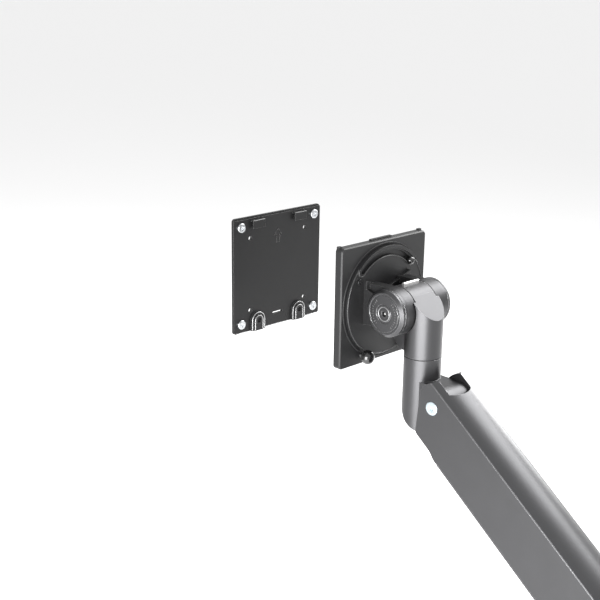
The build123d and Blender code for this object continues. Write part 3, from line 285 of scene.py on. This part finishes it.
def shade(obj, hard_angle):
    """Smooth the surface and keep the edges sharper than an angle hard."""
    for face in obj.data.polygons:
        face.use_smooth = True
    split = obj.modifiers.new("edges", "EDGE_SPLIT")
    split.split_angle = radians(hard_angle)


def smooth_cad(obj):
    """Join the loose triangles and keep only the real edges hard."""
    join_distance, hard_angle = 0.000002, 24
    weld = obj.modifiers.new("weld", "WELD")
    weld.merge_threshold = join_distance
    shade(obj, hard_angle)


def dress_nodes():
    slot_of = {part["node"]: part["material_slot"] for part in frame["record"]["subparts"]}
    for name, obj in nodes.items():
        dress(obj, BY_SLOT[slot_of[name]])
        smooth_cad(obj)
    dress(nodes["thumb_inserts"], black_oxide)
    dress(nodes["adapter_plate"], plate_black_shaded)
    dress(nodes["tilt_bracket"], shaded_web_bracket())


# ---- mesh helpers
def finished(mesh, name, material, body, smooth_angle=30):
    """Turn a bmesh into a piece of the object that rides on a CAD body."""
    bmesh.ops.remove_doubles(mesh, verts=mesh.verts, dist=WELD)
    bmesh.ops.recalc_face_normals(mesh, faces=mesh.faces)
    data = bpy.data.meshes.new(name)
    mesh.to_mesh(data)
    mesh.free()
    obj = bpy.data.objects.new(name, data)
    bpy.context.scene.collection.objects.link(obj)
    dress(obj, material)
    shade(obj, smooth_angle)
    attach(obj, body)
    return obj


def in_mm(points):
    """A profile written in millimetres, in metres."""
    return [(r * MM, z * MM) for r, z in points]


def drawn_line(mesh, points):
    """A run of edges through (radius, height) points in the y = 0 plane."""
    verts = [mesh.verts.new((r, 0, z)) for r, z in points]
    return verts + [mesh.edges.new(pair) for pair in zip(verts, verts[1:])]


def turn(mesh, profile, steps=48):
    """Spin a (radius, height) profile, which starts and ends on the axis, about +Z."""
    bmesh.ops.spin(mesh, geom=drawn_line(mesh, profile), cent=(0, 0, 0), axis=(0, 0, 1),
                   angle=2 * pi, steps=steps, use_merge=True, use_duplicate=False)
    bmesh.ops.remove_doubles(mesh, verts=mesh.verts, dist=WELD)


def place(mesh, at, direction):
    """Stand geometry made about the origin on a point, its +Z along direction."""
    turn_to = Vector((0, 0, 1)).rotation_difference(Vector(direction)).to_matrix().to_4x4()
    bmesh.ops.transform(mesh, matrix=Matrix.Translation(at) @ turn_to, verts=mesh.verts)


def arc_points(centre, radius, start, end, count):
    """Points of a round stretch of a profile, as (radius, height)."""
    step = (end - start) / (count - 1)
    angles = [radians(start + i * step) for i in range(count)]
    return [(centre[0] + radius * cos(a), centre[1] + radius * sin(a)) for a in angles]


def thread(mesh, crest_r, depth, pitch, low, high, steps=24):
    """A screw thread about +Z: one tooth spun up a helix, cut flat at both ends.

    It cuts all that the mesh holds, so it comes before other geometry.
    """
    crest_start, crest_end, spare_turns, start_below = 0.42, 0.58, 3, 1.5
    on_cut = 0.000002
    turns = int((high - low) / pitch) + spare_turns
    start = low - start_below * pitch
    root_r = crest_r - depth
    tooth = drawn_line(mesh, [
        (root_r, start), (crest_r, start + crest_start * pitch),
        (crest_r, start + crest_end * pitch), (root_r, start + pitch)])
    bmesh.ops.spin(mesh, geom=tooth, cent=(0, 0, 0), axis=(0, 0, 1), dvec=(0, 0, pitch / steps),
                   angle=2 * pi * turns, steps=steps * turns, use_merge=False, use_duplicate=False)
    bmesh.ops.remove_doubles(mesh, verts=mesh.verts, dist=WELD)
    for height, way in ((low, -1), (high, 1)):
        geom = mesh.verts[:] + mesh.edges[:] + mesh.faces[:]
        bmesh.ops.bisect_plane(mesh, geom=geom, plane_co=(0, 0, height), plane_no=(0, 0, way),
                               clear_outer=True)
        rim = [edge for edge in mesh.edges if edge.is_boundary and all(
            abs(vert.co.z - height) < on_cut for vert in edge.verts)]
        bmesh.ops.contextual_create(mesh, geom=rim)


def ring_of_edges(mesh, radius, start, outward, sides=10):
    """The round section that a bead starts from."""
    across = Matrix.Rotation(pi / 2, 4, Vector(outward).normalized())
    ring = bmesh.ops.create_circle(mesh, cap_ends=False, radius=radius, segments=sides,
                                   matrix=Matrix.Translation(start) @ across)
    return ring["verts"] + list({edge for vert in ring["verts"] for edge in vert.link_edges})


def swept_round(mesh, ring, centre, angle, steps):
    """Spin a ring of edges about a centre in the z = 0 plane, and give back the last ring."""
    swept = bmesh.ops.spin(mesh, geom=ring, cent=centre, axis=(0, 0, 1), angle=angle, steps=steps,
                           use_merge=False, use_duplicate=False)
    return [item for item in swept["geom_last"] if not isinstance(item, bmesh.types.BMFace)]


def drawn_on(mesh, ring, move):
    """Extrude a ring of edges straight on by a move, and give back the new ring."""
    edges = [item for item in ring if isinstance(item, bmesh.types.BMEdge)]
    made = bmesh.ops.extrude_edge_only(mesh, edges=edges)["geom"]
    verts = [item for item in made if isinstance(item, bmesh.types.BMVert)]
    bmesh.ops.translate(mesh, vec=move, verts=verts)
    return verts + [item for item in made if isinstance(item, bmesh.types.BMEdge) and all(
        vert in verts for vert in item.verts)]


def merge_bead(mesh):
    """Join a bead's ring to the next where two stretches meet."""
    bmesh.ops.remove_doubles(mesh, verts=mesh.verts, dist=5 * WELD)


def close_ends(mesh):
    """Cap the open rings at a bead's two ends."""
    rim = [edge for edge in mesh.edges if edge.is_boundary]
    bmesh.ops.holes_fill(mesh, edges=rim, sides=0)


def round_bead(mesh, radius, start, turns):
    """A round bead through turns in the z = 0 plane, each (centre, angle, steps)."""
    ring = ring_of_edges(mesh, radius, start, start)
    for centre, angle, steps in turns:
        ring = swept_round(mesh, ring, centre, angle, steps)
    merge_bead(mesh)


def ring_bead(mesh, ring_r, radius, steps=96):
    round_bead(mesh, radius, (ring_r, 0, 0), [((0, 0, 0), 2 * pi, steps)])


def straight_bead(mesh, radius, start, length):
    """A round bead along +X."""
    ring = ring_of_edges(mesh, radius, start, (0, 1, 0))
    drawn_on(mesh, ring, (length, 0, 0))
    merge_bead(mesh)


# ---- head details
def thumb_knob(side):
    """A glossy domed knob with a waist and a threaded stud."""
    stud_r, tooth, pitch, stud_in, stud_steps = 2.5 * MM, 0.4 * MM, 0.8 * MM, 0.4 * MM, 16
    dome, dome_start, dome_end, dome_points = 4.6 * MM, 84, 6, 9
    low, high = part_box(f"thumb_screw_{side}")
    grip_r = (high.x - low.x) / 2
    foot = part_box(f"thumb_washer_{side}")[0].y
    tall = foot - low.y
    waist = [(0, 1.9), (0.35, 1.5), (1.5, 1.3), (1.7, 0.4), (2.0, 0.02)]
    profile = [(0, tall)]
    profile += arc_points((grip_r - dome, tall - dome), dome, dome_start, dome_end, dome_points)
    profile += [(grip_r, tall - dome)]
    profile += [(grip_r - inset * MM, height * MM) for inset, height in waist]
    profile += [(0, waist[-1][1] * MM)]
    mesh = bmesh.new()
    thread(mesh, stud_r, tooth, pitch, foot - high.y, stud_in, stud_steps)
    turn(mesh, profile, 64)
    place(mesh, ((low.x + high.x) / 2, foot, (low.z + high.z) / 2), BACK)
    knob = finished(mesh, f"knob_{side}", gloss_black, f"thumb_knob_{side}")
    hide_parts(f"thumb_screw_{side}")


def stop_knob():
    """The little domed stop that runs in the curved slot."""
    tall, dome, neck_share = 4.0 * MM, 2.4 * MM, 0.6
    dimple_r, rim_r, dimple, rim_drop = 1.35 * MM, 1.5 * MM, 0.9 * MM, 0.05 * MM
    side_low, foot_in, foot_low = 0.5 * MM, 0.3 * MM, 0.2 * MM
    low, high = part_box("rotation_stop_screw")
    radius = (high.x - low.x) / 2
    neck = radius * neck_share
    deep = high.y - low.y - tall
    profile = [(0, tall - dimple), (dimple_r, tall - dimple), (rim_r, tall - rim_drop)]
    profile += arc_points((radius - dome, tall - dome), dome, 80, 4, 8)
    profile += [(radius, side_low), (radius - foot_in, foot_low), (neck, 0), (neck, -deep), (0, -deep)]
    mesh = bmesh.new()
    turn(mesh, profile, 48)
    place(mesh, ((low.x + high.x) / 2, low.y + tall, (low.z + high.z) / 2), BACK)
    knob = finished(mesh, "stop_knob", gloss_black, "head_plate")
    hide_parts("rotation_stop_screw")


def slot_lip(centre):
    """The rolled lip round the curved slot."""
    slot_r, lip_half, half_angle, lip_r = 46.6 * MM, 4.1 * MM, radians(46), 0.75 * MM
    long_steps, end_steps = 40, 12
    left = Vector((-slot_r * sin(half_angle), slot_r * cos(half_angle), 0))
    right = Vector((-left.x, left.y, 0))
    start = right * ((slot_r + lip_half) / slot_r)
    mesh = bmesh.new()
    round_bead(mesh, lip_r, start, [
        ((0, 0, 0), 2 * half_angle, long_steps), (left, pi, end_steps),
        ((0, 0, 0), -2 * half_angle, long_steps), (right, pi, end_steps)])
    place(mesh, centre, BACK)
    finished(mesh, "slot_lip", lip_black_highlit, "tilt_head", 60)


def disc_beads():
    """The lip round the slot, the disc's rolled rim and a fine ring on the plate behind."""
    rim_in, rim_r, ring_out, ring_r, ring_proud = 0.7 * MM, 0.55 * MM, 2.6 * MM, 0.45 * MM, 0.05 * MM
    disc_low, disc_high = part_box("slotted_disc")
    disc_r = (disc_high.x - disc_low.x) / 2
    centre = Vector((head_centre.x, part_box("tilt_bracket")[1].y, head_centre.z))
    slot_lip(centre)
    mesh = bmesh.new()
    ring_bead(mesh, disc_r - rim_in, rim_r)
    place(mesh, centre, BACK)
    finished(mesh, "disc_rim", lip_black_highlit, "tilt_head", 60)
    mesh = bmesh.new()
    ring_bead(mesh, disc_r + ring_out, ring_r)
    place(mesh, head_centre + BACK * ring_proud, BACK)
    finished(mesh, "plate_ring", black_sheet, "head_plate", 60)


def tick_scale(mesh):
    """Plain ticks every 10 degrees on an end cap's two sides, every third one long."""
    tick_r, long_tick, short_tick, width, thick, bevel = 12.9, 2.2, 1.3, 0.42, 0.36, 0.08
    for degree in [*range(40, 141, 10), *range(220, 321, 10)]:
        length = long_tick if degree % 30 == 10 else short_tick
        size = Matrix.Diagonal((length * MM, width * MM, thick * MM, 1))
        out = Matrix.Translation(((tick_r + length / 2) * MM, 0, 0))
        spot = Matrix.Rotation(radians(degree), 4, "Z") @ out
        cube = bmesh.ops.create_cube(mesh, size=1, matrix=spot @ size)
        top = {edge for vert in cube["verts"] for edge in vert.link_edges if all(
            end.co.z > 0.1 * MM for end in edge.verts)}
        bmesh.ops.bevel(mesh, geom=list(top), offset=bevel * MM, segments=1, profile=0.5,
                        affect="EDGES", material=-1)


def cap_details():
    """On each end cap: a bright ring, a socket button with its pin, and a scale of ticks."""
    ring_place_r, ring_r, ring_sunk = 6.5 * MM, 0.45 * MM, 0.15 * MM
    button = in_mm([(0, -2.6), (1.9, -2.6), (2.5, -0.7), (3.6, -0.2), (4.9, 0.05), (5.3, -0.2),
                    (5.3, -3.4), (0, -3.4)])
    pin = in_mm([(0, -1.3), (0.9, -1.5), (1.3, -2.6), (0, -2.7)])
    for name, way, face_x in (("left", -1, cap_low.x), ("right", 1, cap_high.x)):
        at = Vector((face_x, tilt_centre.y, tilt_centre.z))
        out = Vector((way, 0, 0))
        mesh = bmesh.new()
        ring_bead(mesh, ring_place_r, ring_r, 64)
        place(mesh, at - out * ring_sunk, out)
        finished(mesh, f"cap_ring_{name}", cap_metal, "tilt_head", 60)
        mesh = bmesh.new()
        turn(mesh, button, 48)
        place(mesh, at, out)
        finished(mesh, f"cap_socket_{name}", black_oxide, "tilt_head")
        mesh = bmesh.new()
        turn(mesh, pin, 24)
        place(mesh, at, out)
        finished(mesh, f"cap_pin_{name}", bright, "tilt_head")
        mesh = bmesh.new()
        tick_scale(mesh)
        place(mesh, at, out)
        finished(mesh, f"cap_ticks_{name}", cap_metal, "tilt_head")


# ---- quick-release plate details, drawn in the plate's face: x across, y up, z out
HOOK_PROUD = 3.6 * MM
adapter_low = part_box("adapter_plate")[0]
plate_centre = Vector((head_centre.x, adapter_low.y + HOOK_PROUD, head_centre.z))
plate_edge = adapter_low.z - head_centre.z


def boss_rims():
    """Double rolled rims round the two bosses: the wide step is a millimetre lower."""
    end_above_edge, arc_steps = 0.8 * MM, 20
    rims = ((8.3 * MM, 0.5 * MM, 2.4 * MM), (5.1 * MM, 0.45 * MM, 3.4 * MM))
    mesh = bmesh.new()
    for side in ("left", "right"):
        low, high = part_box(f"thumb_screw_{side}")
        x = (low.x + high.x) / 2 - head_centre.x
        z = (low.z + high.z) / 2 - head_centre.z
        drop = z - plate_edge - end_above_edge
        for rim_r, radius, proud in rims:
            ring = ring_of_edges(mesh, radius, Vector((x - rim_r, z - drop, proud)), (1, 0, 0))
            ring = drawn_on(mesh, ring, (0, drop, 0))
            ring = swept_round(mesh, ring, (x, z, 0), -pi, arc_steps)
            drawn_on(mesh, ring, (0, -drop, 0))
            merge_bead(mesh)
    close_ends(mesh)
    place(mesh, plate_centre, BACK)
    # The rims' light grey metal is a painted highlight.
    finished(mesh, "boss_rims", highlight_grey, "quick_release_plate", 60)


def highlight_beads():
    """Light grey metal beads on the hooks' top edges and on the lower edge between the bosses: painted highlights.
    """
    hook_x, hook_half, hook_top, hook_r, sunk = 28.5 * MM, 7.6 * MM, 56.0 * MM, 0.42 * MM, 0.35 * MM
    foot_r, foot_up = 0.4 * MM, 0.45 * MM
    outer, boss_outer, boss_inner = 57.0 * MM, 37.6 * MM, 19.0 * MM
    mesh = bmesh.new()
    for x in (-hook_x, hook_x):
        start = Vector((x - hook_half, hook_top - sunk, HOOK_PROUD - sunk))
        straight_bead(mesh, hook_r, start, 2 * hook_half)
    for x_from, x_to in ((-outer, -boss_outer), (-boss_inner, boss_inner), (boss_outer, outer)):
        straight_bead(mesh, foot_r, Vector((x_from, plate_edge + foot_up, 0)), x_to - x_from)
    close_ends(mesh)
    place(mesh, plate_centre, BACK)
    finished(mesh, "highlight_beads", highlight_grey, "quick_release_plate", 60)


# ---- upper arm details
def screw_head(head_r):
    """A broad plated head with a turned ring and a small socket, over its shank."""
    rim, shank_r, under_head, shank_end = 0.7 * MM, 2.5 * MM, -1.6 * MM, -9.0 * MM
    profile = in_mm([(0, -1.2), (1.5, -1.2), (1.75, -0.1), (2.1, 0), (3.3, 0), (3.5, -0.22),
                     (3.9, -0.22), (4.1, 0)])
    profile += arc_points((head_r - rim, -rim), rim, 88, 2, 6)
    return profile + [(head_r, under_head), (shank_r, under_head), (shank_r, shank_end), (0, shank_end)]


def pivot_screws():
    """The four pivot screws, two at each end of the upper arm."""
    low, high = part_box("arm_pivot_screws")
    mesh = bmesh.new()
    for pin, head_r in (("neck_level", 6.4 * MM), ("lift", 7.4 * MM)):
        at = joint_place(pin)
        for way, x in ((-1, low.x), (1, high.x)):
            screw = bmesh.new()
            turn(screw, screw_head(head_r), 48)
            place(screw, (x, at.y, at.z), (way, 0, 0))
            held = bpy.data.meshes.new("screw")
            screw.to_mesh(held)
            screw.free()
            mesh.from_mesh(held)
            bpy.data.meshes.remove(held)
    piece = finished(mesh, "pivot_screws", zinc_side, "upper_arm")
    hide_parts("arm_pivot_screws")


# ---- clamp details
def clamp_screw():
    """The threaded clamp screw with its waisted hub."""
    pitch, thread_r, tooth, thread_in = 1.75 * MM, 6.0 * MM, 0.75 * MM, 0.5 * MM
    bevel, waist, waist_top, waist_low, step = 1.6 * MM, 0.6 * MM, 1.4 * MM, 3.4 * MM, 4.0 * MM
    low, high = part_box("clamp_screw")
    at = Vector(((low.x + high.x) / 2, (low.y + high.y) / 2, 0))
    hub_r = (high.x - low.x) / 2
    bar_low, bar_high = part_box("clamp_handle")
    hub_top = bar_low.z + bar_high.z - low.z
    mesh = bmesh.new()
    thread(mesh, thread_r, tooth, pitch, hub_top - thread_in, high.z)
    turn(mesh, [
        (0, low.z), (hub_r - bevel, low.z), (hub_r, low.z + bevel), (hub_r, hub_top - step),
        (hub_r - waist, hub_top - waist_low), (hub_r - waist, hub_top - waist_top),
        (hub_r - bevel, hub_top), (0, hub_top)], 64)
    bmesh.ops.translate(mesh, vec=at, verts=mesh.verts)
    piece = finished(mesh, "threaded_clamp_screw", steel, "clamp_spindle")
    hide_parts("clamp_screw")


# ---- camera, floor and light
def camera():
    data = bpy.data.cameras.new("camera")
    obj = bpy.data.objects.new("camera", data)
    bpy.context.scene.collection.objects.link(obj)
    obj.location = head_centre + Vector((-0.7755, -0.6884, 0.3107))
    heading, fall, roll = radians(44.074), radians(16.826), radians(0.777)
    turned = Matrix.Rotation(-heading, 4, "Z") @ Matrix.Rotation(pi / 2 - fall, 4, "X")
    obj.rotation_euler = (turned @ Matrix.Rotation(roll, 4, "Z")).to_euler()
    data.lens = 69.05
    data.sensor_width = 36.0
    data.clip_start = 0.01
    bpy.context.scene.camera = obj


def area_light(name, offset, size, power):
    """A rectangular lamp at an offset from the head's centre, aimed at it."""
    data = bpy.data.lights.new(name, "AREA")
    data.shape = "RECTANGLE"
    data.size, data.size_y = size
    data.energy = power
    obj = bpy.data.objects.new(name, data)
    bpy.context.scene.collection.objects.link(obj)
    obj.location = head_centre + Vector(offset)
    obj.rotation_euler = (-Vector(offset)).to_track_quat("-Z", "Y").to_euler()


def pale_floor():
    half_side, below = 30, 2 * MM
    mesh = bmesh.new()
    bmesh.ops.create_grid(mesh, x_segments=1, y_segments=1, size=half_side)
    bmesh.ops.translate(mesh, vec=(0, 0, cad_box[0][2] - below), verts=mesh.verts)
    data = bpy.data.meshes.new("floor")
    mesh.to_mesh(data)
    mesh.free()
    obj = bpy.data.objects.new("floor", data)
    bpy.context.scene.collection.objects.link(obj)
    material, _, shader = new_material("floor")
    shader.inputs["Base Color"].default_value = (0.95, 0.95, 0.95, 1)
    shader.inputs["Roughness"].default_value = 0.9
    dress(obj, material)


def studio():
    world = bpy.data.worlds.new("studio")
    bpy.context.scene.world = world
    world.use_nodes = True
    backdrop = world.node_tree.nodes["Background"]
    backdrop.inputs["Color"].default_value = (1, 1, 1, 1)
    backdrop.inputs["Strength"].default_value = 0.92
    bpy.context.scene.view_settings.view_transform = "Standard"
    area_light("key_high_right", (1.44, -0.40, 1.32), (1.3, 1.3), 44)
    area_light("side_right", (1.86, 0.38, 0.44), (0.8, 1.2), 26)
    area_light("front_left", (-1.16, -0.59, -0.04), (1.3, 0.9), 46)


camera()
pale_floor()
studio()
dress_nodes()
for side in ("left", "right"):
    thumb_knob(side)
stop_knob()
disc_beads()
cap_details()
boss_rims()
highlight_beads()
pivot_screws()
clamp_screw()
